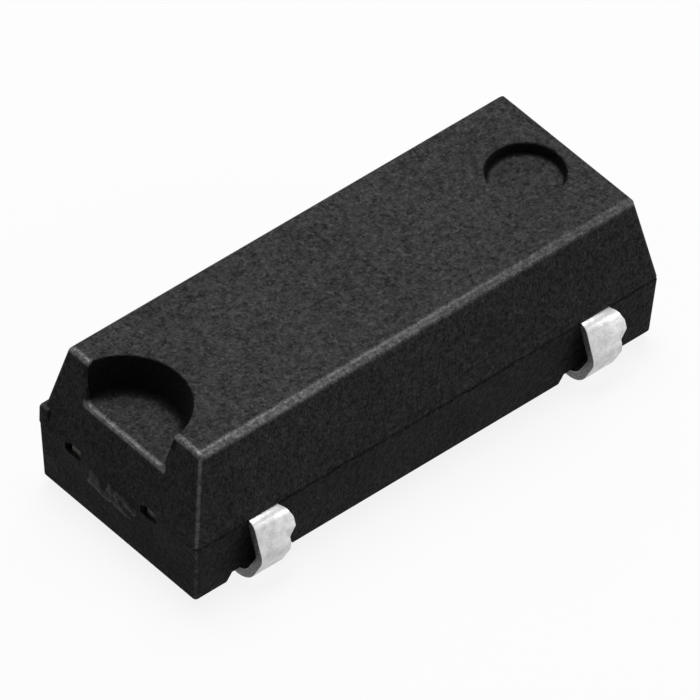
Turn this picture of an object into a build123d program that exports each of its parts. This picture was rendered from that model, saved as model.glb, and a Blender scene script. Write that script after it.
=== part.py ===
"""Surface-mount crystal resonator: a sealed tuning-fork crystal in a metal can,
moulded into a black plastic package that stands on four J-bent leads.

Millimetres, +Z up. The origin is the centre of the footprint, on the plane that the
lead feet stand on. -X is the end with the half-round index notch (lead 1 and lead 4).
"""

import os
from math import radians, tan

from build123d import *

os.makedirs("parts", exist_ok=True)

# ---- Driving dimensions: moulded body ----
body_length = 8.0           # along X, at the parting line
body_width = 3.15           # along Y, at the parting line
stand_off = 0.13            # from the lead feet up to the underside of the body
lower_height = 0.98         # underside to parting line
upper_height = 1.38         # parting line to top
lower_draft = 3.0           # degrees
upper_draft = 10.8          # degrees
corner_radius = 0.05        # the upright corners, and the top edges at the ends
long_edge_radius = 0.10     # top edges along the leads
bottom_edge_radius = 0.04

# Half-round index notch, open through the -X end
notch_radius = 0.88         # at the top face
notch_y = 0.05              # its centre, from the middle plane towards lead 4
notch_inset = 0.16          # its centre, from the -X end at the parting line
notch_depth = 0.61
notch_draft = 8.5
notch_floor_radius = 0.12   # where the wall meets the floor

# Shallow round ejector recess at the +X end
recess_radius = 0.55        # at the top face
recess_inset = 1.0          # its centre, from the +X end at the parting line
recess_depth = 0.19
recess_draft = 10.0
recess_floor_radius = 0.04

# Moulding marks on the -X end
gate_scar_width = 1.0       # along Y
gate_scar_height = 0.38
gate_scar_y = 0.10
gate_scar_drop = 0.28       # from the parting line down to its middle
gate_scar_proud = 0.02
nub_width = 0.19            # flash at the corner beside lead 4, along Y
nub_height = 0.30
nub_length = 0.24           # along X
nub_proud = 0.02            # past the end and the side at the parting line

# ---- Driving dimensions: lead frame ----
lead_thickness = 0.127
lead_width = 0.50
lead_pitch = 5.74           # centre to centre along X
lead_shift = 0.022          # lead frame against the body, along X
fold_reach = 0.043          # from the body side to the fold, along the strip's middle
knee_reach = 0.230          # from the body side to the knee
knee_z = 0.561
heel_reach = -0.015         # from the body side to the heel
land_length = 0.41          # heel corner to toe corner
toe_length = 0.16
toe_lift = 0.035
fold_radius = 0.10          # bend radii, at the strip's middle
knee_radius = 0.19
heel_radius = 0.335
toe_radius = 0.15
dam_stub = 0.13             # trimmed dam bar, left on the +X edge of each lead
dam_top_slope = 1.0         # its upper edge leaves the body side and runs out at this slope
dam_bottom_z = 0.77
dam_slope_drop = 0.10       # its lower edge runs back to the lead over this height

pocket_side = 0.33          # body pocket over each foot, clear of the lead at the underside
pocket_slope = 0.10         # and how much narrower that is at its ceiling
pocket_depth = 0.16
pocket_toe_gap = 0.12       # beyond the toe, towards the middle of the body

pad_gap = 0.12              # from the middle plane to the inner end of leads 1 and 4
pad_length = 0.62           # along Y
pad_width = 0.86            # along X
anchor_gap = 0.20           # from the can to the inner end of leads 2 and 3
anchor_length = 0.26
anchor_width = 0.90

tie_bar_y = 0.75            # from the middle of the pair
tie_bar_shift = 0.11        # middle of the pair, from the middle plane towards leads 3 and 4
tie_bar_width = 0.20
tie_bar_length = 0.50       # inside the body
tie_head_width = 0.36
tie_head_length = 0.16
tie_bar_set_back = 0.055    # broken off just inside the end face, in a small pit
pit_width = 0.26
pit_height = 0.19
pit_depth = 0.08
pit_rise = 0.02             # its middle, above the middle of the strip

# ---- Driving dimensions: sealed crystal ----
can_diameter = 1.5
can_length = 5.0
can_wall = 0.10
can_end_radius = 0.25
can_gap = 0.238             # from the pads to the can's mouth
base_length = 0.70
glass_diameter = 1.0
pin_diameter = 0.18
pin_pitch = 0.50
pin_inner_length = 0.45     # past the base, inside the can
pin_end_gap = 0.16          # from a pin's outer end to the outer edge of its pad
set_down = 0.02             # how far a pin is flattened onto its pad and under the fork

fork_length = 3.6
fork_width = 0.60
fork_thickness = 0.12
fork_gap = 0.15             # from the base to the fork
tine_length = 2.45
slot_width = 0.14
bond_radius = 0.135

# ---- Worked-out places ----
parting_z = stand_off + lower_height
top_z = parting_z + upper_height
half_width = body_width / 2
half_length = body_length / 2
strip_mid_z = parting_z - lead_thickness / 2
foot_mid_z = lead_thickness / 2
toe_y = half_width + heel_reach - land_length
tip_y = toe_y - toe_length

pad_top_z = parting_z
can_axis_z = pad_top_z + pin_diameter / 2 - set_down
can_radius = can_diameter / 2
bore_radius = can_radius - can_wall

lead_x = {"notch": lead_shift - lead_pitch / 2, "far": lead_shift + lead_pitch / 2}
pad_outer_x = lead_x["notch"] - lead_width / 2
pad_inner_x = pad_outer_x + pad_width
can_mouth_x = pad_inner_x + can_gap
base_end_x = can_mouth_x + base_length
pin_outer_x = pad_outer_x + pin_end_gap
fork_x = base_end_x + fork_gap
fork_z = can_axis_z + pin_diameter / 2 - set_down


def save(part, name):
    """Name a finished piece and write it as one file."""
    part.label = name
    export_step(part, f"parts/{name}.step")


# ---- Leads ----
def make_lead(centre_x, side, inner_y, head_x, head_length, head_width):
    """One stamped and bent lead: a flat head inside the body, then fold, leg, knee, heel, foot."""
    edge_x = centre_x + lead_width / 2
    with BuildPart() as lead:
        with BuildSketch(Plane.YZ.offset(centre_x - lead_width / 2)):
            with BuildLine():
                FilletPolyline(
                    (inner_y, strip_mid_z),
                    (half_width + fold_reach, strip_mid_z),
                    (half_width + knee_reach, knee_z),
                    (half_width + heel_reach, foot_mid_z),
                    (toe_y, foot_mid_z),
                    (tip_y, foot_mid_z + toe_lift),
                    radius=(fold_radius, knee_radius, heel_radius, toe_radius),
                )
            trace(line_width=lead_thickness)
        extrude(amount=lead_width + dam_stub)
        # Trim the dam bar back: a slanted edge from the exit outwards, and one further down
        with BuildSketch(Plane.XY):
            with BuildLine():
                Polyline(
                    (edge_x, 0),
                    (edge_x + 2 * dam_stub, 0),
                    (edge_x + 2 * dam_stub, half_width + 2 * dam_stub * dam_top_slope),
                    (edge_x, half_width),
                    close=True,
                )
            make_face()
        extrude(amount=top_z, mode=Mode.SUBTRACT)
        with BuildSketch(Plane.XZ):
            with BuildLine():
                Polyline(
                    (edge_x, -1),
                    (edge_x + 2 * dam_stub, -1),
                    (edge_x + 2 * dam_stub, dam_bottom_z + dam_slope_drop),
                    (edge_x, dam_bottom_z - dam_slope_drop),
                    close=True,
                )
            make_face()
        extrude(amount=-body_width, mode=Mode.SUBTRACT)
        with BuildSketch(Plane.XY.offset(parting_z - lead_thickness)):
            with Locations((head_x, inner_y)):
                Rectangle(head_width, head_length, align=(Align.CENTER, Align.MIN))
        extrude(amount=lead_thickness)
        if side < 0:
            mirror(about=Plane.XZ, mode=Mode.REPLACE)
    return lead.part


def make_pad_lead(side):
    """Lead 1 or 4: its head is the pad that a crystal pin is welded to."""
    pad_x = (pad_outer_x + pad_inner_x) / 2
    return make_lead(lead_x["notch"], side, pad_gap, pad_x, pad_length, pad_width)


def make_anchor_lead(side):
    """Lead 2 or 3: carries no signal, and its head only holds it in the body."""
    inner_y = can_radius + anchor_gap
    return make_lead(lead_x["far"], side, inner_y, lead_x["far"], anchor_length, anchor_width)


leads = {
    "lead_1": make_pad_lead(-1),
    "lead_2": make_anchor_lead(-1),
    "lead_3": make_anchor_lead(1),
    "lead_4": make_pad_lead(1),
}


# ---- Tie-bar stubs ----
def make_tie_bar(end, side):
    """Broken-off end of a bar that held the lead frame in its strip, at one end of the body."""
    face_x = end * (half_length - tie_bar_set_back)
    head_x = end * (half_length - tie_bar_length)
    length = tie_bar_length - tie_bar_set_back
    bar_y = tie_bar_shift + side * tie_bar_y
    with BuildPart() as tie_bar:
        with BuildSketch(Plane.XY.offset(parting_z - lead_thickness)):
            with Locations(((face_x + head_x) / 2, bar_y)):
                Rectangle(length, tie_bar_width)
            with Locations((head_x + end * tie_head_length / 2, bar_y)):
                Rectangle(tie_head_length, tie_head_width)
        extrude(amount=lead_thickness)
    return tie_bar.part


tie_bars = {
    "tie_bar_1": make_tie_bar(-1, -1),
    "tie_bar_2": make_tie_bar(1, -1),
    "tie_bar_3": make_tie_bar(1, 1),
    "tie_bar_4": make_tie_bar(-1, 1),
}

# ---- Crystal can: a drawn cap, closed at its +X end ----
def make_round_ended(radius, length, end_radius):
    """Cylinder from the can's mouth along its axis, rounded at the far end."""
    with BuildPart() as cylinder:
        with BuildSketch(Plane.YZ.offset(can_mouth_x)):
            with Locations((0, can_axis_z)):
                Circle(radius)
        extrude(amount=length)
        fillet(cylinder.faces().sort_by(Axis.X)[-1].edges(), end_radius)
    return cylinder.part


can_outside = make_round_ended(can_radius, can_length, can_end_radius)
can_inside = make_round_ended(bore_radius, can_length - can_wall, can_end_radius - can_wall)

with BuildPart() as crystal_can:
    add(can_outside)
    add(can_inside, mode=Mode.SUBTRACT)

# ---- Base: a metal ring pressed into the can, with a glass bead sealed in it ----
with BuildPart() as base_ring:
    with BuildSketch(Plane.YZ.offset(can_mouth_x)):
        with Locations((0, can_axis_z)):
            Circle(bore_radius)
            Circle(glass_diameter / 2, mode=Mode.SUBTRACT)
    extrude(amount=base_length)

with BuildPart() as glass_seal:
    with BuildSketch(Plane.YZ.offset(can_mouth_x)):
        with Locations((0, can_axis_z)):
            Circle(glass_diameter / 2)
        with Locations((-pin_pitch / 2, can_axis_z), (pin_pitch / 2, can_axis_z)):
            Circle(pin_diameter / 2, mode=Mode.SUBTRACT)
    extrude(amount=base_length)


# ---- Pins: from the pads, through the glass, to the fork ----
def make_pin(side):
    """One round pin, flattened where it is welded to its pad and where the fork lies on it."""
    pin_y = side * pin_pitch / 2
    inner_x = base_end_x + pin_inner_length
    with BuildPart() as pin:
        with BuildSketch(Plane.YZ.offset(pin_outer_x)):
            with Locations((pin_y, can_axis_z)):
                Circle(pin_diameter / 2)
        extrude(amount=inner_x - pin_outer_x)
        with BuildSketch(Plane.XY.offset(pad_top_z)):
            with Locations((pad_inner_x, pin_y)):
                Rectangle(pad_width, pin_diameter, align=(Align.MAX, Align.CENTER))
        extrude(amount=-pin_diameter, mode=Mode.SUBTRACT)
        with BuildSketch(Plane.XY.offset(fork_z)):
            with Locations((fork_x, pin_y)):
                Rectangle(fork_length, pin_diameter, align=(Align.MIN, Align.CENTER))
        extrude(amount=pin_diameter, mode=Mode.SUBTRACT)
    return pin.part


def make_fork_bond(side):
    """Solder round the inner end of a pin, up to the underside of the fork."""
    pin_y = side * pin_pitch / 2
    with BuildPart() as bond:
        with BuildSketch(Plane.YZ.offset(fork_x)):
            with Locations((pin_y, can_axis_z)):
                Circle(bond_radius)
                Circle(pin_diameter / 2, mode=Mode.SUBTRACT)
        extrude(amount=base_end_x + pin_inner_length - fork_x)
        with BuildSketch(Plane.XY.offset(fork_z)):
            with Locations((fork_x, pin_y)):
                Rectangle(fork_length, 2 * bond_radius, align=(Align.MIN, Align.CENTER))
        extrude(amount=bond_radius, mode=Mode.SUBTRACT)
    return bond.part


pins = {"pin_1": make_pin(-1), "pin_4": make_pin(1)}
bonds = {"fork_bond_1": make_fork_bond(-1), "fork_bond_4": make_fork_bond(1)}

# ---- Quartz tuning fork ----
with BuildPart() as quartz_fork:
    with BuildSketch(Plane.XY.offset(fork_z)):
        with Locations((fork_x, 0)):
            Rectangle(fork_length, fork_width, align=(Align.MIN, Align.CENTER))
        with Locations((fork_x + fork_length, 0)):
            Rectangle(tine_length, slot_width, align=(Align.MAX, Align.CENTER), mode=Mode.SUBTRACT)
    extrude(amount=fork_thickness)


# ---- Moulded body ----
def foot_pocket(centre_x, side):
    """Slant-sided pocket in the underside, open through the side wall, over one lead foot."""
    wide = lead_width / 2 + pocket_side
    narrow = wide - pocket_slope
    length = half_width - tip_y + pocket_toe_gap
    with BuildPart() as pocket:
        with BuildSketch(Plane.XZ.offset(-side * (tip_y - pocket_toe_gap))):
            with BuildLine():
                Polyline(
                    (centre_x - wide, stand_off),
                    (centre_x - narrow, stand_off + pocket_depth),
                    (centre_x + narrow, stand_off + pocket_depth),
                    (centre_x + wide, stand_off),
                    close=True,
                )
            make_face()
        extrude(amount=-side * length)
    return pocket.part


pockets = [foot_pocket(x, side) for x in lead_x.values() for side in (-1, 1)]


def end_edges(half):
    """Edges round the two end faces of a drafted block, without those at the parting line."""
    ends = half.faces().sort_by(Axis.X)
    edges = ends[0].edges() + ends[-1].edges()
    return edges.filter_by(lambda edge: abs(edge.center().Z - parting_z) > corner_radius)


def make_upper_half():
    """Drafted block above the parting line; the long top edges are rounder than the rest."""
    with BuildPart() as half:
        with BuildSketch(Plane.XY.offset(parting_z)):
            Rectangle(body_length, body_width)
        extrude(amount=upper_height, taper=upper_draft)
        fillet(half.faces().sort_by(Axis.Z)[-1].edges().filter_by(Axis.X), long_edge_radius)
        fillet(end_edges(half), corner_radius)
    return half.part


def make_lower_half():
    """Drafted block below the parting line."""
    with BuildPart() as half:
        with BuildSketch(Plane.XY.offset(parting_z)):
            Rectangle(body_length, body_width)
        extrude(amount=-lower_height, taper=lower_draft)
        fillet(half.faces().sort_by(Axis.Z)[0].edges().filter_by(Axis.X), bottom_edge_radius)
        fillet(end_edges(half), corner_radius)
    return half.part


def make_dish(centre, radius, depth, draft, floor_radius):
    """Round, drafted tool that sinks into the top face, rounded where it makes the floor."""
    with BuildPart() as dish:
        with BuildSketch(Plane.XY.offset(top_z)):
            with Locations(centre):
                Circle(radius)
        extrude(amount=-depth, taper=draft)
        fillet(dish.faces().sort_by(Axis.Z)[0].edges(), floor_radius)
    return dish.part


upper_half = make_upper_half()
lower_half = make_lower_half()
index_notch = make_dish(
    (notch_inset - half_length, notch_y),
    notch_radius,
    notch_depth,
    notch_draft,
    notch_floor_radius,
)
round_recess = make_dish(
    (half_length - recess_inset, 0),
    recess_radius,
    recess_depth,
    recess_draft,
    recess_floor_radius,
)


def make_pit(end, side):
    """Small break-out round the end of a tie bar."""
    with BuildPart() as pit:
        with BuildSketch(Plane.YZ.offset(end * half_length)):
            with Locations((tie_bar_shift + side * tie_bar_y, strip_mid_z + pit_rise)):
                RectangleRounded(pit_width, pit_height, pit_height / 4)
        extrude(amount=-end * pit_depth)
    return pit.part


pits = [make_pit(end, side) for end in (-1, 1) for side in (-1, 1)]

with BuildPart() as moulded_body:
    add(upper_half)
    add(lower_half)
    # Flash at the -X end: the gate scar, and a nub at the corner beside lead 4
    with BuildSketch(Plane.YZ.offset(-half_length + lower_height / 2 * tan(radians(lower_draft)))):
        with Locations((gate_scar_y, parting_z - gate_scar_drop)):
            RectangleRounded(gate_scar_width, gate_scar_height, gate_scar_height / 4)
    extrude(amount=-gate_scar_proud)
    with BuildSketch(Plane.XY.offset(parting_z)):
        with Locations((-half_length - nub_proud, half_width + nub_proud)):
            Rectangle(nub_length, nub_width, align=(Align.MIN, Align.MAX))
    extrude(amount=nub_height)
    # Index notch, ejector recess, the pockets over the feet and the pits at the tie bars
    for tool in (index_notch, round_recess, *pockets, *pits):
        add(tool, mode=Mode.SUBTRACT)
    # The compound fills all the space round the crystal and the lead frame
    for insert in (can_outside, *leads.values(), *tie_bars.values(), *pins.values()):
        add(insert, mode=Mode.SUBTRACT)

pieces = {
    "moulded_body": moulded_body.part,
    **leads,
    **tie_bars,
    "crystal_can": crystal_can.part,
    "base_ring": base_ring.part,
    "glass_seal": glass_seal.part,
    **pins,
    **bonds,
    "quartz_fork": quartz_fork.part,
}
for name, piece in pieces.items():
    save(piece, name)
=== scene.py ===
"""Studio picture of a small surface-mount crystal resonator: a black moulded package on four
tinned J-bent leads, seen from above its notched end."""

import math

import bmesh
import bpy
from mathutils import Matrix, Vector, noise


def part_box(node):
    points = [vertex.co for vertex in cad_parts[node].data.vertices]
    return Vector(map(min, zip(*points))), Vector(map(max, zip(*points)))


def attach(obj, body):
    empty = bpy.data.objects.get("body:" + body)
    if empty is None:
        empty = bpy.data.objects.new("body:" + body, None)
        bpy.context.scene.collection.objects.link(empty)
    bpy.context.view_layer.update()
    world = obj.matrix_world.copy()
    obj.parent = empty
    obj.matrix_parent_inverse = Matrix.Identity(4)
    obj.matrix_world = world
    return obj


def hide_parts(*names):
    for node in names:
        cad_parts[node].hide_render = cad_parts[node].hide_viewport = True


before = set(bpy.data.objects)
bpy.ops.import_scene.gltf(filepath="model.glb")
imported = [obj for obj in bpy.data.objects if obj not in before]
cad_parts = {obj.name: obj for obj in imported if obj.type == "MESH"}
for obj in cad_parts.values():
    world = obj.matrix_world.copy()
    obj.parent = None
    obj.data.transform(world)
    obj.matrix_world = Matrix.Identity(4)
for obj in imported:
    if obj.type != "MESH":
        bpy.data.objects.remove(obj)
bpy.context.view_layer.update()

MM = 0.001                       # shapes are worked out in millimetres and made in metres

# ---- Places taken from the frame, in millimetres but for the tie bar's corners ----
body_low, body_high = (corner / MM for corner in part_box("moulded_body"))
tie_low, tie_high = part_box("tie_bar_1")
underside = body_low.z
top = body_high.z
half_width = -body_low.y         # at the parting line, on the side without the nub
half_length = body_high.x
parting = tie_high.z / MM
lead_thickness = parting - tie_low.z / MM

# ---- Moulded body ----
UPPER_DRAFT = math.radians(10.8)
LOWER_DRAFT = math.radians(3.0)
CORNER_RADIUS = 0.05
LONG_EDGE_RADIUS = 0.10
END_EDGE_RADIUS = 0.05
BOTTOM_RADIUS = 0.04

# ---- Groove at the parting line ----
SEAM_HALF = 0.026                # half its height
SEAM_DEPTH_SIDES = 0.034
SEAM_DEPTH_ENDS = 0.005
SEAM_WAVER_UP = 0.024            # how far it may waver up and down
SEAM_WAVER_IN = 0.030            # and into the body
SIDE_POINTS = 70                 # along each long side, so that the groove can waver

# ---- Round cuts in the top, with their drafts in degrees ----
NOTCH = {"x": 0.16 - half_length, "y": 0.05, "radius": 0.88, "depth": 0.61,
         "draft": 8.5, "fillet": 0.12, "rim": 0.035}
RECESS = {"x": half_length - 1.0, "y": 0.0, "radius": 0.55, "depth": 0.19,
          "draft": 10.0, "fillet": 0.05, "rim": 0.04}
MOUTH_BEVEL = 0.055              # on the edges that the notch leaves in the end face

# ---- Pockets over the feet ----
POCKET_MOUTH = 0.58              # half its length along the body, at the underside
POCKET_ROOF = 0.48
POCKET_DEPTH = 0.16
POCKET_INNER = 0.87              # its inner wall, from the middle plane

# ---- Pits over the tie bars, each with a narrow hollow beside it ----
TIE_BAR_Y = 0.75
TIE_BAR_SHIFT = 0.11             # the pair lies off the middle plane
PIT_SIZE = (0.20, 0.26, 0.19)
PIT_OUT = 0.02                   # its middle, out from the end of the body
PIT_RISE = 0.02
PIT_BEVEL = 0.045
HOLLOW_SIZE = (0.34, 0.10, 0.15)
HOLLOW_ASIDE = 0.13
HOLLOW_DROP = 0.01
HOLLOW_BEVEL = 0.025

# ---- Nub on the corner behind the notch ----
NUB_SIZE = (0.24, 0.19, 0.345)
NUB_PROUD = 0.006
NUB_RISE = 0.30                  # of its top, above the parting line
NUB_BEVEL = 0.045

# ---- Scar of the gate ----
SCAR_WIDTH = 1.15
SCAR_HEIGHT = 0.42
SCAR_Y = 0.10
SCAR_DROP = 0.25                 # of its middle, below the parting line
SCAR_SINK = 0.016                # its rim lies this far inside the end face
SCAR_RELIEF = 0.042              # the most that it rises from there
SCAR_ROOT = 0.08                 # its inner face, inside the end face

# ---- Leads; each reach is measured out from the body's side ----
LEADS = {"lead_1": (-1, -1), "lead_2": (1, -1), "lead_3": (1, 1), "lead_4": (-1, 1)}
LEAD_PITCH = 5.74
LEAD_SHIFT = 0.022               # both pairs lie this far towards +X
LEAD_WIDTH = 0.50
LEAD_BEVEL = 0.014
ROOT_REACH = -0.25
FOLD_REACH = 0.043
KNEE_REACH = 0.230
KNEE_Z = 0.561
HEEL_REACH = -0.015
TOE_REACH = -0.425
TIP_REACH = -0.585
TIP_RISE = 0.035
BENDS = ((0.10, 10), (0.19, 10), (0.335, 18), (0.15, 5))   # radius and runs: fold, knee, heel, toe
LONGEST_RUN = 0.02
DAM_STUB = 0.13                  # how far the trimmed dam bar stands out
DAM_SLOPE = 0.10                 # length of the slope at each end of it
DAM_BOTTOM_Z = 0.67

# ---- Widths of the edges worn by handling, along which a highlight is painted ----
RUBBED_HIGHLIGHT_LONG = 0.118
RUBBED_HIGHLIGHT_END = 0.085
RUBBED_HIGHLIGHT_UPRIGHT = 0.052
RUBBED_HIGHLIGHT_NOTCH = 0.08

# ---- Studio ----
FLOOR_RADIUS = 250
FLOOR_GLOW = 0.865               # how bright the floor is to the eye
WHITE_LEVEL = 0.955              # how bright the world is to the eye and in reflections
WORLD_LEVEL = 0.10               # and as a light
# Name; azimuth and elevation in degrees; distance, width and height in millimetres; radiance
LAMPS = (
    ("overhead", 150, 78, 120, 70, 70, 9.5),
    ("behind", 138, 42, 120, 80, 50, 1.2),
    ("low_right", 50, 8, 120, 60, 24, 8.0),
    ("front", 35, 30, 120, 36, 14, 7.0),
    ("left", 232, 28, 120, 20, 12, 8.0),
)


# ---------------------------------------------------------------- small helpers
def mesh_object(name, bm, materials=()):
    """Turns a bmesh in millimetres into an object with the materials given."""
    bmesh.ops.recalc_face_normals(bm, faces=bm.faces)
    mesh = bpy.data.meshes.new(name)
    bm.to_mesh(mesh)
    bm.free()
    for material in materials:
        mesh.materials.append(material)
    piece = bpy.data.objects.new(name, mesh)
    bpy.context.scene.collection.objects.link(piece)
    return piece


def apply_modifiers(piece):
    """Replaces a piece's mesh with the result of its modifiers."""
    graph = bpy.context.evaluated_depsgraph_get()
    mesh = bpy.data.meshes.new_from_object(piece.evaluated_get(graph))
    piece.modifiers.clear()
    old = piece.data
    piece.data = mesh
    bpy.data.meshes.remove(old)
    mesh.name = piece.name


def combine(piece, tool, operation="DIFFERENCE"):
    """Takes a tool's shape out of a piece, or adds it with UNION, and throws the tool away."""
    modifier = piece.modifiers.new("cut", "BOOLEAN")
    modifier.operation = operation
    modifier.solver = "EXACT"
    modifier.object = tool
    apply_modifiers(piece)
    mesh = tool.data
    bpy.data.objects.remove(tool)
    bpy.data.meshes.remove(mesh)


def finish_piece(piece, replaces):
    """Scales a piece to metres, shades it and ties it to the frame."""
    piece.data.transform(Matrix.Scale(MM, 4))
    for polygon in piece.data.polygons:
        polygon.use_smooth = True
    piece.data.set_sharp_from_angle(angle=math.radians(32))
    weighted = piece.modifiers.new("flat_faces_stay_flat", "WEIGHTED_NORMAL")
    weighted.keep_sharp = True
    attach(piece, "root")
    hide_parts(*replaces)


# ---------------------------------------------------------------- camera
def make_camera():
    """A long lens, far off: the object is seen with almost no perspective."""
    azimuth, elevation, roll = (math.radians(a) for a in (-42.39, 44.36, 2.01))
    distance = 222.905
    aside, above = 0.023, 0.681          # how far the aim is off the middle of the underside
    back = Vector((math.sin(azimuth) * math.cos(elevation),
                   -math.cos(azimuth) * math.cos(elevation),
                   math.sin(elevation)))
    level = Vector((math.cos(azimuth), math.sin(azimuth), 0))
    rise = back.cross(level)
    right = math.cos(roll) * level + math.sin(roll) * rise
    up = back.cross(right)
    place = Vector((0, 0, underside)) + aside * right + above * up + distance * back
    data = bpy.data.cameras.new("camera")
    data.sensor_width = 36
    data.lens = 874.8
    data.clip_start, data.clip_end = 0.02, 5
    camera = bpy.data.objects.new("camera", data)
    turn = Matrix((right, up, back)).transposed().to_4x4()
    camera.matrix_world = Matrix.Translation(place * MM) @ turn
    bpy.context.scene.collection.objects.link(camera)
    bpy.context.scene.camera = camera


make_camera()


# ---------------------------------------------------------------- shader helpers
class Nodes:
    """A short way to write the nodes of a material or a world."""

    def __init__(self, owner, output):
        owner.use_nodes = True
        self.owner = owner
        self.tree = owner.node_tree
        self.tree.nodes.clear()
        self.output = self.add(output)

    def add(self, kind, settings=(), **inputs):
        node = self.tree.nodes.new(kind)
        for key, value in dict(settings).items():
            setattr(node, key, value)
        for key, value in inputs.items():
            self.put(node, key.replace("_", " "), value)
        return node

    def put(self, node, key, value):
        """Links a socket to an input, or sets the input to a constant."""
        if isinstance(value, bpy.types.NodeSocket):
            self.tree.links.new(value, node.inputs[key])
        else:
            node.inputs[key].default_value = value

    def math(self, operation, a, b=0.0):
        node = self.add("ShaderNodeMath", {"operation": operation})
        self.put(node, 0, a)
        self.put(node, 1, b)
        return node.outputs[0]

    def highest(self, first, *others):
        for other in others:
            first = self.math("MAXIMUM", first, other)
        return first

    def product(self, first, *others):
        for other in others:
            first = self.math("MULTIPLY", first, other)
        return first

    def distance(self, a, b):
        """Length of the slope over two sides of a right angle."""
        squares = self.math("ADD", self.math("MULTIPLY", a, a), self.math("MULTIPLY", b, b))
        return self.math("SQRT", squares)

    def position(self):
        """Place on the object, in millimetres."""
        texture = self.add("ShaderNodeTexCoord")
        scaled = self.add("ShaderNodeVectorMath", {"operation": "SCALE"}, Scale=1 / MM)
        self.put(scaled, 0, texture.outputs["Object"])
        return scaled.outputs[0]

    def axes(self, place):
        """The x, y and z of a place."""
        split = self.add("ShaderNodeSeparateXYZ")
        self.put(split, 0, place)
        return split.outputs[0], split.outputs[1], split.outputs[2]

    def noise(self, place, per_mm, detail=2.0, roughness=0.5):
        node = self.add("ShaderNodeTexNoise", Scale=per_mm, Detail=detail, Roughness=roughness)
        self.put(node, "Vector", place)
        return node.outputs["Fac"]

    def ramp(self, value, low, high, to_low=0.0, to_high=1.0, smooth=True):
        """Carries a value from one range to another, held at both ends."""
        node = self.add("ShaderNodeMapRange", {"clamp": True})
        node.interpolation_type = "SMOOTHSTEP" if smooth else "LINEAR"
        for key, number in zip(("Value", "From Min", "From Max", "To Min", "To Max"),
                               (value, low, high, to_low, to_high)):
            self.put(node, key, number)
        return node.outputs[0]

    def mix(self, factor, a, b):
        """Mixes two colours; inputs 6 and 7 and output 2 are the Mix node's colours."""
        node = self.add("ShaderNodeMix", {"data_type": "RGBA"})
        self.put(node, 0, factor)
        for key, colour in ((6, a), (7, b)):
            self.put(node, key, (*colour, 1) if isinstance(colour, tuple) else colour)
        return node.outputs[2]

    def bump(self, height, depth_mm, strength=1.0):
        node = self.add("ShaderNodeBump", Strength=strength, Distance=depth_mm * MM)
        self.put(node, "Height", height)
        return node.outputs[0]

    def surface(self, **inputs):
        """Ends a material with a Principled shader."""
        shader = self.add("ShaderNodeBsdfPrincipled", **inputs)
        self.put(self.output, "Surface", shader.outputs[0])
        return self.owner


def material_nodes(name):
    return Nodes(bpy.data.materials.new(name), "ShaderNodeOutputMaterial")


def seen_directly(n):
    """1 for what the eye sees, itself or in a reflection or through glass, and 0 for light."""
    path = n.add("ShaderNodeLightPath")
    rays = ("Is Camera Ray", "Is Glossy Ray", "Is Transmission Ray")
    return n.highest(*(path.outputs[ray] for ray in rays))


# ---------------------------------------------------------------- materials
def grey(level):
    """A neutral colour; level is its linear value."""
    return (level, level, level)


def black_epoxy():
    """Moulded black epoxy: a fine matt grain, pale flecks, edges worn smoother and glossier by handling
    with a highlight painted along them, and painted shade on the walls of the notch and the recess and
    below the parting line.
    """
    n = material_nodes("black_epoxy")
    place = n.position()
    coarse = n.noise(place, 11.0, 3.0, 0.6)
    fine = n.noise(place, 25.0, 2.0, 0.6)
    clouds = n.noise(place, 1.3, 2.0, 0.5)
    grain = n.math("ADD", n.math("MULTIPLY", coarse, 0.5), n.math("MULTIPLY", fine, 0.5))
    flecks = n.ramp(n.noise(place, 17.0, 1.0, 0.4), 0.60, 0.72)
    speckled = n.ramp(grain, 0.40, 0.60, 0.45, 1.0)
    worn_and_painted_highlight = n.math("MULTIPLY", rubbed_highlight_mask(n, place), speckled)
    colour = n.mix(n.ramp(grain, 0.37, 0.63, smooth=False), grey(0.011), grey(0.056))
    colour = n.mix(n.math("MULTIPLY", flecks, 0.55), colour, grey(0.085))
    colour = n.mix(n.ramp(clouds, 0.25, 0.75, 0.0, 0.2), colour, grey(0.020))
    # painted shade: the sides below the parting line darker
    lower = n.ramp(n.axes(place)[2], parting - 0.03, parting + 0.01, 0.30, 0.0)
    colour = n.mix(lower, colour, grey(0.006))
    # painted shade on the walls and rim rounding of the notch and the recess
    colour = n.mix(n.math("MULTIPLY", dish_wall_painted_shade(n, place), 0.88), colour, grey(0.004))
    # painted highlight: the worn edges lightened towards pale grey; their coat below is real gloss
    colour = n.mix(n.math("MULTIPLY", worn_and_painted_highlight, 0.55), colour, grey(0.125))
    rough = n.ramp(clouds, 0.3, 0.7, 0.50, 0.60)
    normal = n.bump(grain, 0.045, 1.0)
    coat_normal = n.bump(grain, 0.030, 0.5)
    return n.surface(Base_Color=colour, Roughness=rough, Normal=normal, Specular_IOR_Level=0.018,
                     Coat_Weight=worn_and_painted_highlight, Coat_Roughness=0.28, Coat_Normal=coat_normal)


def broken_epoxy():
    """Epoxy that broke instead of being moulded: paler, blotchy and coarse."""
    n = material_nodes("broken_epoxy")
    place = n.position()
    lumps = n.noise(place, 7.0, 4.0, 0.65)
    fine = n.noise(place, 26.0, 2.0, 0.6)
    colour = n.mix(n.ramp(lumps, 0.38, 0.62), grey(0.016), grey(0.075))
    relief = n.math("ADD", n.math("MULTIPLY", lumps, 0.7), n.math("MULTIPLY", fine, 0.3))
    normal = n.bump(relief, 0.040, 0.9)
    return n.surface(Base_Color=colour, Roughness=0.62, Normal=normal, Specular_IOR_Level=0.10)


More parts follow.
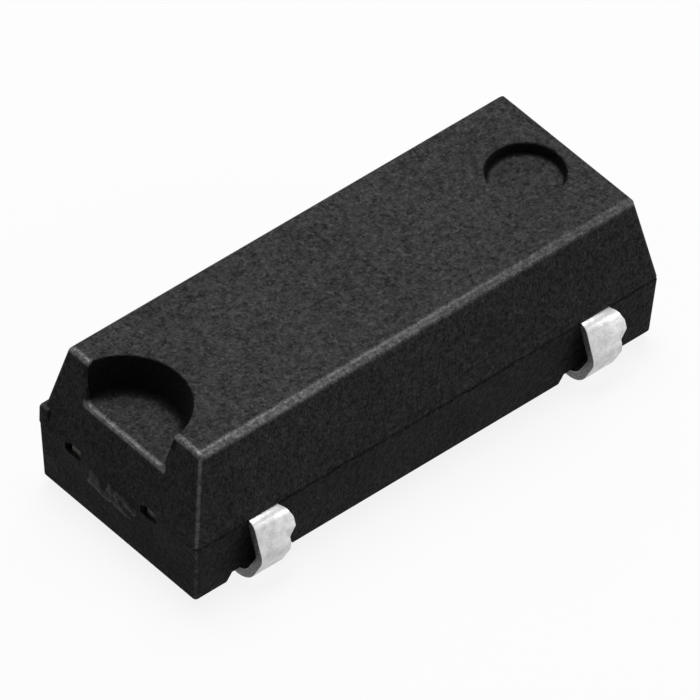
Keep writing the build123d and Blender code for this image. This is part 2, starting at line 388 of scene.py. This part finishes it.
def dish_wall_painted_shade(n, place):
    """1 on the steep walls and the rim rounding of the notch and the recess, where shade is painted
    into the colour.
    """
    x, y, z = n.axes(place)
    below_top = n.ramp(z, top - 0.022, top - 0.002, 1.0, 0.0)
    behind_end = n.math("GREATER_THAN", x, NOTCH["x"] + 0.06)
    masks = []
    for shape in (NOTCH, RECESS):
        far = n.distance(n.math("SUBTRACT", x, shape["x"]), n.math("SUBTRACT", y, shape["y"]))
        foot = shape["radius"] - shape["depth"] * math.tan(math.radians(shape["draft"]))
        outside = n.ramp(far, foot - shape["fillet"], foot)
        within = n.math("LESS_THAN", far, shape["radius"] + 0.03)
        above_floor = n.math("GREATER_THAN", z, top - shape["depth"] - 0.001)
        masks.append(n.product(outside, within, below_top, above_floor, behind_end))
    return n.highest(*masks)


def rubbed_highlight_mask(n, place):
    """1 along the edges that show handling and carry a painted highlight, fading to 0: the long top
    edge over leads 1 and 2, and the top, the near corner and the notch's front edge at the -X end."""
    x, y, z = n.axes(place)
    above = n.math("MAXIMUM", n.math("SUBTRACT", z, parting), 0.0)
    below = n.math("MAXIMUM", n.math("SUBTRACT", parting, z), 0.0)
    lean = n.math("ADD", n.math("MULTIPLY", above, math.tan(UPPER_DRAFT)),
                  n.math("MULTIPLY", below, math.tan(LOWER_DRAFT)))
    in_x = n.math("SUBTRACT", n.math("ADD", x, half_length), lean)
    in_y = n.math("SUBTRACT", n.math("ADD", y, half_width), lean)
    down = n.math("SUBTRACT", top, z)
    over_floor = n.math("SUBTRACT", down, NOTCH["depth"])

    def near(a, b, width):
        return n.ramp(n.distance(a, b), width * 0.35, width, 1.0, 0.0)

    off_notch = n.math("ABSOLUTE", n.math("SUBTRACT", y, NOTCH["y"]))
    inside_notch = n.ramp(off_notch, NOTCH["radius"] - 0.10, NOTCH["radius"] - 0.04, 1.0, 0.0)
    # the painted highlight along the long edge grows weaker towards +X
    fading = n.ramp(x, -half_length, half_length, 1.0, 0.55)
    over_seam = n.ramp(z, parting - 0.1, parting + 0.1, 0.35, 1.0)
    return n.highest(n.product(near(in_y, down, RUBBED_HIGHLIGHT_LONG), fading),
                     near(in_x, down, RUBBED_HIGHLIGHT_END),
                     n.product(near(in_x, in_y, RUBBED_HIGHLIGHT_UPRIGHT), over_seam),
                     n.product(near(in_x, over_floor, RUBBED_HIGHLIGHT_NOTCH), inside_notch))


def tinned_metal():
    """Matt tin plate over copper alloy: satin and mottled."""
    n = material_nodes("tinned_metal")
    place = n.position()
    mottle = n.noise(place, 7.0, 4.0, 0.62)
    fine = n.noise(place, 40.0, 2.0, 0.5)
    tone = n.ramp(mottle, 0.32, 0.68)
    colour = n.mix(tone, grey(0.43), grey(0.60))
    rough = n.ramp(mottle, 0.3, 0.7, 0.46, 0.36)
    relief = n.math("ADD", n.math("MULTIPLY", mottle, 0.6), n.math("MULTIPLY", fine, 0.4))
    normal = n.bump(relief, 0.012, 0.45)
    return n.surface(Base_Color=colour, Metallic=1.0, Roughness=rough, Normal=normal)


def sheared_metal():
    """The cut sides of the lead frame: darker, rough and finely blotched."""
    n = material_nodes("sheared_metal")
    place = n.position()
    blotches = n.noise(place, 30.0, 2.0, 0.6)
    tone = n.ramp(blotches, 0.3, 0.7)
    colour = n.mix(tone, grey(0.07), grey(0.20))
    normal = n.bump(blotches, 0.010, 0.5)
    return n.surface(Base_Color=colour, Metallic=0.85, Roughness=0.52, Normal=normal)


def copper_alloy_in_painted_shade():
    """Broken end of a lead-frame bar, dull and blotched, painted nearly black as the shade in its pit.
    """
    n = material_nodes("copper_alloy_in_painted_shade")
    place = n.position()
    blotches = n.noise(place, 7.0, 3.0, 0.6)
    colour = n.mix(n.ramp(blotches, 0.35, 0.65), (0.006, 0.006, 0.006), (0.060, 0.056, 0.050))
    normal = n.bump(blotches, 0.015, 0.6)
    return n.surface(Base_Color=colour, Metallic=0.8, Roughness=0.5, Normal=normal)


def plated_metal(name, low, high, roughness, per_mm):
    """A clean metal surface with a faint drawn or plated unevenness."""
    n = material_nodes(name)
    drift = n.noise(n.position(), per_mm, 3.0, 0.55)
    colour = n.mix(n.ramp(drift, 0.3, 0.7), low, high)
    rough = n.ramp(drift, 0.3, 0.7, roughness - 0.04, roughness + 0.04)
    normal = n.bump(drift, 0.004, 0.4)
    return n.surface(Base_Color=colour, Metallic=1.0, Roughness=rough, Normal=normal)


def clear_glass(name, low, high, roughness, index, per_mm):
    """Glass or quartz with a faint cloudiness."""
    n = material_nodes(name)
    drift = n.noise(n.position(), per_mm, 3.0, 0.5)
    colour = n.mix(n.ramp(drift, 0.3, 0.7), low, high)
    rough = n.ramp(drift, 0.3, 0.7, roughness, roughness + 0.06)
    normal = n.bump(drift, 0.002, 0.3)
    return n.surface(Base_Color=colour, Roughness=rough, IOR=index, Transmission_Weight=0.9,
                     Normal=normal)


def floor_material():
    """Pale studio floor: white to the eye and in reflections, with the object's soft shadow.
    From below it can't be seen."""
    n = material_nodes("floor")
    drift = n.ramp(n.noise(n.position(), 0.02, 2.0), 0.3, 0.7)
    paper = n.add("ShaderNodeBsdfDiffuse", Color=n.mix(drift, grey(0.098), grey(0.100)))
    glow = n.add("ShaderNodeEmission", Strength=n.math("MULTIPLY", seen_directly(n), FLOOR_GLOW))
    both = n.add("ShaderNodeAddShader")
    n.put(both, 0, paper.outputs[0])
    n.put(both, 1, glow.outputs[0])
    clear = n.add("ShaderNodeBsdfTransparent")
    side = n.add("ShaderNodeNewGeometry")
    pick = n.add("ShaderNodeMixShader")
    n.put(pick, 0, side.outputs["Backfacing"])
    n.put(pick, 1, both.outputs[0])
    n.put(pick, 2, clear.outputs[0])
    n.put(n.output, "Surface", pick.outputs[0])
    return n.owner


EPOXY = black_epoxy()
BROKEN = broken_epoxy()
TIN = tinned_metal()
SHEARED = sheared_metal()


# ---------------------------------------------------------------- moulded body
def side_inset(z):
    """How far the drafted sides lie inside the parting-line outline at a height."""
    if z >= parting:
        return (z - parting) * math.tan(UPPER_DRAFT)
    return (parting - z) * math.tan(LOWER_DRAFT)


def body_levels():
    """Outlines from the underside to the top: (half length, z at ends, half width, z at sides)."""
    levels = []
    steps = 10
    for i in range(steps + 1):           # rounded edge of the underside
        turn = math.radians(90) * (1 - i / steps) + LOWER_DRAFT * i / steps
        levels.append(rounded_level(underside, -1, BOTTOM_RADIUS, BOTTOM_RADIUS, turn, LOWER_DRAFT))
    for z, share in ((parting - SEAM_HALF, 0), (parting, 1), (parting + SEAM_HALF, 0)):
        inset = side_inset(z)
        levels.append((half_length - inset - share * SEAM_DEPTH_ENDS, z,
                       half_width - inset - share * SEAM_DEPTH_SIDES, z))
    for i in range(steps + 1):           # rounded edge of the top
        turn = UPPER_DRAFT + (math.radians(90) - UPPER_DRAFT) * i / steps
        levels.append(rounded_level(top, 1, END_EDGE_RADIUS, LONG_EDGE_RADIUS, turn, UPPER_DRAFT))
    return levels


def rounded_level(face_z, way, end_radius, side_radius, turn, draft):
    """One outline on a rounded edge; turn goes from the side's normal to straight up or down."""
    values = []
    for half, radius in ((half_length, end_radius), (half_width, side_radius)):
        centre_z = face_z - way * radius
        wall = half - side_inset(centre_z)
        centre = wall - radius / math.cos(draft)
        values += [centre + radius * math.cos(turn), centre_z + way * radius * math.sin(turn)]
    return tuple(values)


def outline(level):
    """Points round one level: four rounded corners, and long sides in many short runs."""
    half_x, z_ends, half_y, z_sides = level
    steps = 6
    straight_x = half_x - CORNER_RADIUS
    points = []
    for sign_x, sign_y, start in ((1, 1, 0), (-1, 1, 90), (-1, -1, 180), (1, -1, 270)):
        for i in range(steps + 1):
            angle = math.radians(start + 90 * i / steps)
            share = math.sin(angle) ** 2
            points.append((sign_x * straight_x + CORNER_RADIUS * math.cos(angle),
                           sign_y * (half_y - CORNER_RADIUS) + CORNER_RADIUS * math.sin(angle),
                           z_ends * (1 - share) + z_sides * share))
        if sign_x * sign_y > 0:          # a long side follows this corner
            for i in range(1, SIDE_POINTS):
                x = sign_x * straight_x * (1 - 2 * i / SIDE_POINTS)
                points.append((x, sign_y * half_y, z_sides))
    if abs(z_sides - parting) > SEAM_HALF + 0.001:
        return points
    return [waver(point) for point in points]


def waver(point):
    """Moves a point of the parting groove up or down a little, and its bottom inward too."""
    x, y, z = point
    if abs(x) > half_length - 2 * CORNER_RADIUS:
        return point
    sign = 1 if y > 0 else -1
    up = SEAM_WAVER_UP * noise.noise(Vector((3.1 * x, 5.0 * sign, 0.0)))
    inward = SEAM_WAVER_IN * noise.noise(Vector((6.3 * x, 5.0 * sign, 4.0)))
    if abs(z - parting) < 0.001:
        y -= sign * max(0.0, inward)
    return (x, y, z + up)


def body_block():
    """The drafted block with all its rounded edges and the groove at the parting line."""
    bm = bmesh.new()
    rings = [[bm.verts.new(p) for p in outline(level)] for level in body_levels()]
    for lower, upper in zip(rings, rings[1:]):
        for i in range(len(lower)):
            j = (i + 1) % len(lower)
            bm.faces.new((lower[i], lower[j], upper[j], upper[i]))
    bm.faces.new(reversed(rings[0]))
    bm.faces.new(rings[-1])
    return mesh_object("moulded_package", bm, (EPOXY, BROKEN))


def dish_tool(shape, angles):
    """Round drafted cutter with a rounded foot and a flared rim, turned about an upright axis."""
    draft = math.radians(shape["draft"])
    fillet, rim = shape["fillet"], shape["rim"]
    overshoot = 0.3
    rim_steps, foot_steps = 5, 8
    rim_r = shape["radius"] - rim * math.tan(draft) + rim
    rim_turns = [math.radians(100 + 80 * i / rim_steps) for i in range(rim_steps + 1)]
    profile = [(rim_r + rim * math.cos(rim_turns[0]), top + overshoot)]
    profile += [(rim_r + rim * math.cos(turn), top - rim + rim * math.sin(turn)) for turn in rim_turns]
    foot_radius = shape["radius"] - shape["depth"] * math.tan(draft)
    middle_r = foot_radius - fillet * (1 / math.cos(draft) - math.tan(draft))
    middle_z = top - shape["depth"] + fillet
    for i in range(foot_steps + 1):
        turn = -draft + (draft + math.radians(90)) * i / foot_steps
        profile.append((middle_r + fillet * math.cos(turn), middle_z - fillet * math.sin(turn)))
    bm = bmesh.new()
    columns = []
    for angle in angles:
        a = math.radians(angle)
        points = [(shape["x"] + r * math.cos(a), shape["y"] + r * math.sin(a), z) for r, z in profile]
        columns.append([bm.verts.new(point) for point in points])
    for one, two in zip(columns, columns[1:] + columns[:1]):
        for i in range(len(profile) - 1):
            bm.faces.new((one[i], one[i + 1], two[i + 1], two[i]))
    bm.faces.new([c[0] for c in columns])
    bm.faces.new([c[-1] for c in reversed(columns)])
    return mesh_object("dish", bm)


def prism_tool(points, low, high):
    """A straight cutter: an outline of (x, z), from low to high along y."""
    bm = bmesh.new()
    one = [bm.verts.new((x, low, z)) for x, z in points]
    two = [bm.verts.new((x, high, z)) for x, z in points]
    for i in range(len(points)):
        j = (i + 1) % len(points)
        bm.faces.new((one[i], one[j], two[j], two[i]))
    bm.faces.new(one)
    bm.faces.new(two)
    return mesh_object("prism", bm)


def notch_angles():
    """Fine steps round the back of the notch, and wide ones beyond the end face."""
    reach, steps = 78, 52
    back = [-reach + 2 * reach * i / steps for i in range(steps + 1)]
    return back + [104, 140, 180, 220, 256]


def lead_middle(end):
    """Middle of a lead's leg along the body."""
    return end * LEAD_PITCH / 2 + LEAD_SHIFT


def foot_pocket_tool(end, side):
    """Slant-sided pocket in the underside over one foot; the slants run on below the underside."""
    overrun = 0.08
    spread = 0.05
    middle = lead_middle(end)
    mouth_z, roof_z = underside - overrun, underside + POCKET_DEPTH
    points = [(middle - POCKET_MOUTH - spread, mouth_z), (middle - POCKET_ROOF, roof_z),
              (middle + POCKET_ROOF, roof_z), (middle + POCKET_MOUTH + spread, mouth_z)]
    outer = half_width + 0.2
    low_y, high_y = sorted((side * POCKET_INNER, side * outer))
    return prism_tool(points, low_y, high_y)


def round_cut_edges(piece):
    """Rounds the edges that the notch left in the -X end face."""
    end_zone = -half_length + 0.4
    lowest, highest = parting + 0.3, top - 0.002
    sharp = math.radians(38)
    sliver = 0.0004
    bm = bmesh.new()
    bm.from_mesh(piece.data)
    bmesh.ops.remove_doubles(bm, verts=bm.verts, dist=sliver)
    bmesh.ops.dissolve_degenerate(bm, dist=sliver, edges=bm.edges)
    mouth = []
    for edge in bm.edges:
        middle = (edge.verts[0].co + edge.verts[1].co) / 2
        in_end_face = middle.x < end_zone and lowest < middle.z < highest
        if in_end_face and len(edge.link_faces) == 2 and edge.calc_face_angle(0) > sharp:
            mouth.append(edge)
    bmesh.ops.bevel(bm, geom=mouth, offset=MOUTH_BEVEL, offset_type="OFFSET", segments=5, profile=0.5,
                    affect="EDGES", clamp_overlap=True)
    bm.to_mesh(piece.data)
    bm.free()


def block_tool(centre, size, bevel):
    """Small block with broken edges, given by its middle and its size."""
    bm = bmesh.new()
    bmesh.ops.create_cube(bm, size=1)
    bmesh.ops.scale(bm, vec=size, verts=bm.verts)
    bmesh.ops.bevel(bm, geom=bm.edges, offset=bevel, segments=2, profile=0.5, affect="EDGES")
    bmesh.ops.translate(bm, vec=centre, verts=bm.verts)
    return mesh_object("block", bm)


def tie_bar_pit_tools():
    """Cutters for the pit over each tie bar and for the hollow beside it."""
    for end in (-1, 1):
        for side in (-1, 1):
            x = end * (half_length + PIT_OUT)
            y = TIE_BAR_SHIFT + side * TIE_BAR_Y
            z = parting - lead_thickness / 2 + PIT_RISE
            yield block_tool((x, y, z), PIT_SIZE, PIT_BEVEL)
            yield block_tool((x, y + HOLLOW_ASIDE, z - HOLLOW_DROP), HOLLOW_SIZE, HOLLOW_BEVEL)


def nub():
    """Small block that stands a little proud of the corner behind the notch."""
    size = Vector(NUB_SIZE)
    corner = Vector((-half_length - NUB_PROUD, half_width + NUB_PROUD, parting + NUB_RISE))
    return block_tool(corner + Vector((1, -1, -1)) * size / 2, size, NUB_BEVEL)


def gate_scar():
    """Rough low patch where the gate broke off the -X end: a slab with a ragged outer face."""
    middle_z = parting - SCAR_DROP
    wall = -half_length + side_inset(middle_z)
    bm = bmesh.new()
    bmesh.ops.create_grid(bm, x_segments=46, y_segments=17, size=0.5)
    for vertex in bm.verts:
        u, v = vertex.co.x, vertex.co.y
        y, z = SCAR_Y + SCAR_WIDTH * u, middle_z + SCAR_HEIGHT * v
        inside = max(0.0, 1 - (2 * abs(u)) ** 4) * max(0.0, 1 - (2 * abs(v)) ** 4)
        ragged = 0.5 + 0.8 * noise.fractal(Vector((5 * y, 7 * z, 2.0)), 0.7, 2.0, 4)
        rise = SCAR_RELIEF * inside * min(1.0, max(0.0, ragged))
        vertex.co = Vector((wall + SCAR_SINK - rise, y, z))
    slab = bmesh.ops.extrude_face_region(bm, geom=list(bm.faces))
    for item in slab["geom"]:
        if isinstance(item, bmesh.types.BMVert):
            item.co.x = wall + SCAR_ROOT
    for face in bm.faces:
        face.material_index = 1
    return mesh_object("scar", bm)


def make_body():
    """The whole moulding, from the plain block to the broken edges."""
    body = body_block()
    combine(body, dish_tool(NOTCH, notch_angles()))
    combine(body, dish_tool(RECESS, [5 * i for i in range(72)]))
    for end, side in LEADS.values():
        combine(body, foot_pocket_tool(end, side))
    round_cut_edges(body)
    for tool in tie_bar_pit_tools():
        combine(body, tool)
    combine(body, nub(), "UNION")
    combine(body, gate_scar(), "UNION")
    finish_piece(body, ["moulded_body"])


make_body()


# ---------------------------------------------------------------- leads
def strip_path():
    """Middle line of a lead's strip, as points of (distance from the middle plane, z)."""
    strip_z = parting - lead_thickness / 2
    foot_z = lead_thickness / 2
    reaches = (ROOT_REACH, FOLD_REACH, KNEE_REACH, HEEL_REACH, TOE_REACH, TIP_REACH)
    heights = (strip_z, strip_z, KNEE_Z, foot_z, foot_z, foot_z + TIP_RISE)
    corners = [Vector((half_width + reach, z)) for reach, z in zip(reaches, heights)]
    points = [corners[0]]
    for before, corner, after, (radius, steps) in zip(corners, corners[1:], corners[2:], BENDS):
        way_in = (corner - before).normalized()
        way_out = (after - corner).normalized()
        bend = way_in.angle_signed(way_out)
        start = corner - way_in * (radius * math.tan(abs(bend) / 2))
        across = Vector((way_in.y, -way_in.x)) * (1 if bend > 0 else -1)
        centre = start + across * radius
        for i in range(steps + 1):
            points.append(centre + Matrix.Rotation(-bend * i / steps, 2) @ (start - centre))
    return points + [corners[-1]]


def finely_divided(path, step):
    """The same path with no run longer than a step."""
    points = [path[0]]
    for point in path[1:]:
        start = points[-1]
        run = point - start
        parts = max(1, math.ceil(run.length / step))
        points += [start + run * i / parts for i in range(1, parts)] + [point]
    return points


def far_edge(reach, z, plain):
    """Where the lead's +X side lies: the trimmed dam bar stands out between fold and knee."""
    leaves = (reach - half_width) / DAM_SLOPE
    returns = (z - DAM_BOTTOM_Z) / DAM_SLOPE
    return plain + DAM_STUB * min(1.0, max(0.0, min(leaves, returns)))


def make_lead(name, end, side):
    """One lead: a strip of even thickness bent along its path, with its cut sides darker."""
    path = finely_divided(strip_path(), LONGEST_RUN)
    low_x = lead_middle(end) - LEAD_WIDTH / 2
    high_x = low_x + LEAD_WIDTH
    bm = bmesh.new()
    rings = []
    for i, point in enumerate(path):
        ahead = path[min(i + 1, len(path) - 1)] - path[max(i - 1, 0)]
        across = Vector((-ahead.y, ahead.x)).normalized() * lead_thickness / 2
        outer, inner = point + across, point - across
        edge = far_edge(point.x, point.y, high_x)
        rings.append([bm.verts.new((x, side * p.x, p.y))
                      for x, p in ((low_x, outer), (edge, outer), (edge, inner), (low_x, inner))])
    for one, two in zip(rings, rings[1:]):
        for i in range(4):
            j = (i + 1) % 4
            face = bm.faces.new((one[i], one[j], two[j], two[i]))
            face.material_index = i % 2
    for ring in (rings[0], rings[-1]):
        bm.faces.new(ring).material_index = 1
    bmesh.ops.recalc_face_normals(bm, faces=bm.faces)
    sharp = [e for e in bm.edges if e.calc_face_angle(0) > math.radians(40)]
    bmesh.ops.bevel(bm, geom=sharp, offset=LEAD_BEVEL, segments=3, profile=0.5, affect="EDGES",
                    clamp_overlap=True, material=0)
    lead = mesh_object(f"{name}_bent_strip", bm, (TIN, SHEARED))
    finish_piece(lead, [name])


for lead_name, (lead_end, lead_side) in LEADS.items():
    make_lead(lead_name, lead_end, lead_side)

# ---------------------------------------------------------------- nodes kept as they are
KEPT = {
    "tie_bar": copper_alloy_in_painted_shade(),
    "crystal_can": plated_metal("nickel_silver", (0.50, 0.48, 0.44), (0.60, 0.58, 0.53), 0.26, 1.5),
    "base_ring": plated_metal("plated_ring", (0.52, 0.52, 0.50), (0.66, 0.66, 0.64), 0.32, 3.0),
    "glass_seal": clear_glass("sealing_glass", (0.10, 0.15, 0.10), (0.18, 0.24, 0.18), 0.08, 1.52, 4.0),
    "pin": plated_metal("plated_pin", (0.55, 0.55, 0.53), (0.70, 0.70, 0.68), 0.30, 6.0),
    "fork_bond": plated_metal("solder", (0.42, 0.42, 0.42), (0.58, 0.58, 0.58), 0.42, 8.0),
    "quartz_fork": clear_glass("quartz", (0.86, 0.88, 0.90), (0.93, 0.94, 0.95), 0.04, 1.54, 2.0),
}
for node_name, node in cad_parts.items():
    for start, material in KEPT.items():
        if node_name.startswith(start):
            for material_slot in node.material_slots:
                material_slot.material = material


# ---------------------------------------------------------------- floor, world and lamps
def make_floor():
    """A wide round floor under the feet."""
    bm = bmesh.new()
    bmesh.ops.create_circle(bm, cap_ends=True, segments=96, radius=FLOOR_RADIUS)
    floor = mesh_object("floor", bm, [floor_material()])
    floor.data.transform(Matrix.Scale(MM, 4))
    if floor.data.polygons[0].normal.z < 0:
        floor.data.flip_normals()


def make_world():
    """Almost white to the eye and in reflections, and a weak light from all round."""
    world = bpy.data.worlds.new("studio")
    n = Nodes(world, "ShaderNodeOutputWorld")
    level = n.ramp(seen_directly(n), 0.0, 1.0, WORLD_LEVEL, WHITE_LEVEL, smooth=False)
    background = n.add("ShaderNodeBackground", Color=(1, 1, 1, 1), Strength=level)
    n.put(n.output, "Surface", background.outputs[0])
    bpy.context.scene.world = world


def make_softbox(name, azimuth, elevation, distance, width, height, radiance):
    """Rectangular lamp aimed at the object; its power follows from how bright its face is."""
    a, e = math.radians(azimuth), math.radians(elevation)
    way = Vector((math.sin(a) * math.cos(e), -math.cos(a) * math.cos(e), math.sin(e)))
    data = bpy.data.lights.new(name, "AREA")
    data.shape = "RECTANGLE"
    data.size, data.size_y = width * MM, height * MM
    data.energy = radiance * math.pi * data.size * data.size_y
    lamp = bpy.data.objects.new(name, data)
    lamp.location = way * distance * MM
    lamp.rotation_mode = "QUATERNION"
    lamp.rotation_quaternion = way.to_track_quat("Z", "Y")
    bpy.context.scene.collection.objects.link(lamp)


make_floor()
make_world()
for lamp_values in LAMPS:
    make_softbox(*lamp_values)

bpy.context.scene.view_settings.view_transform = "Standard"
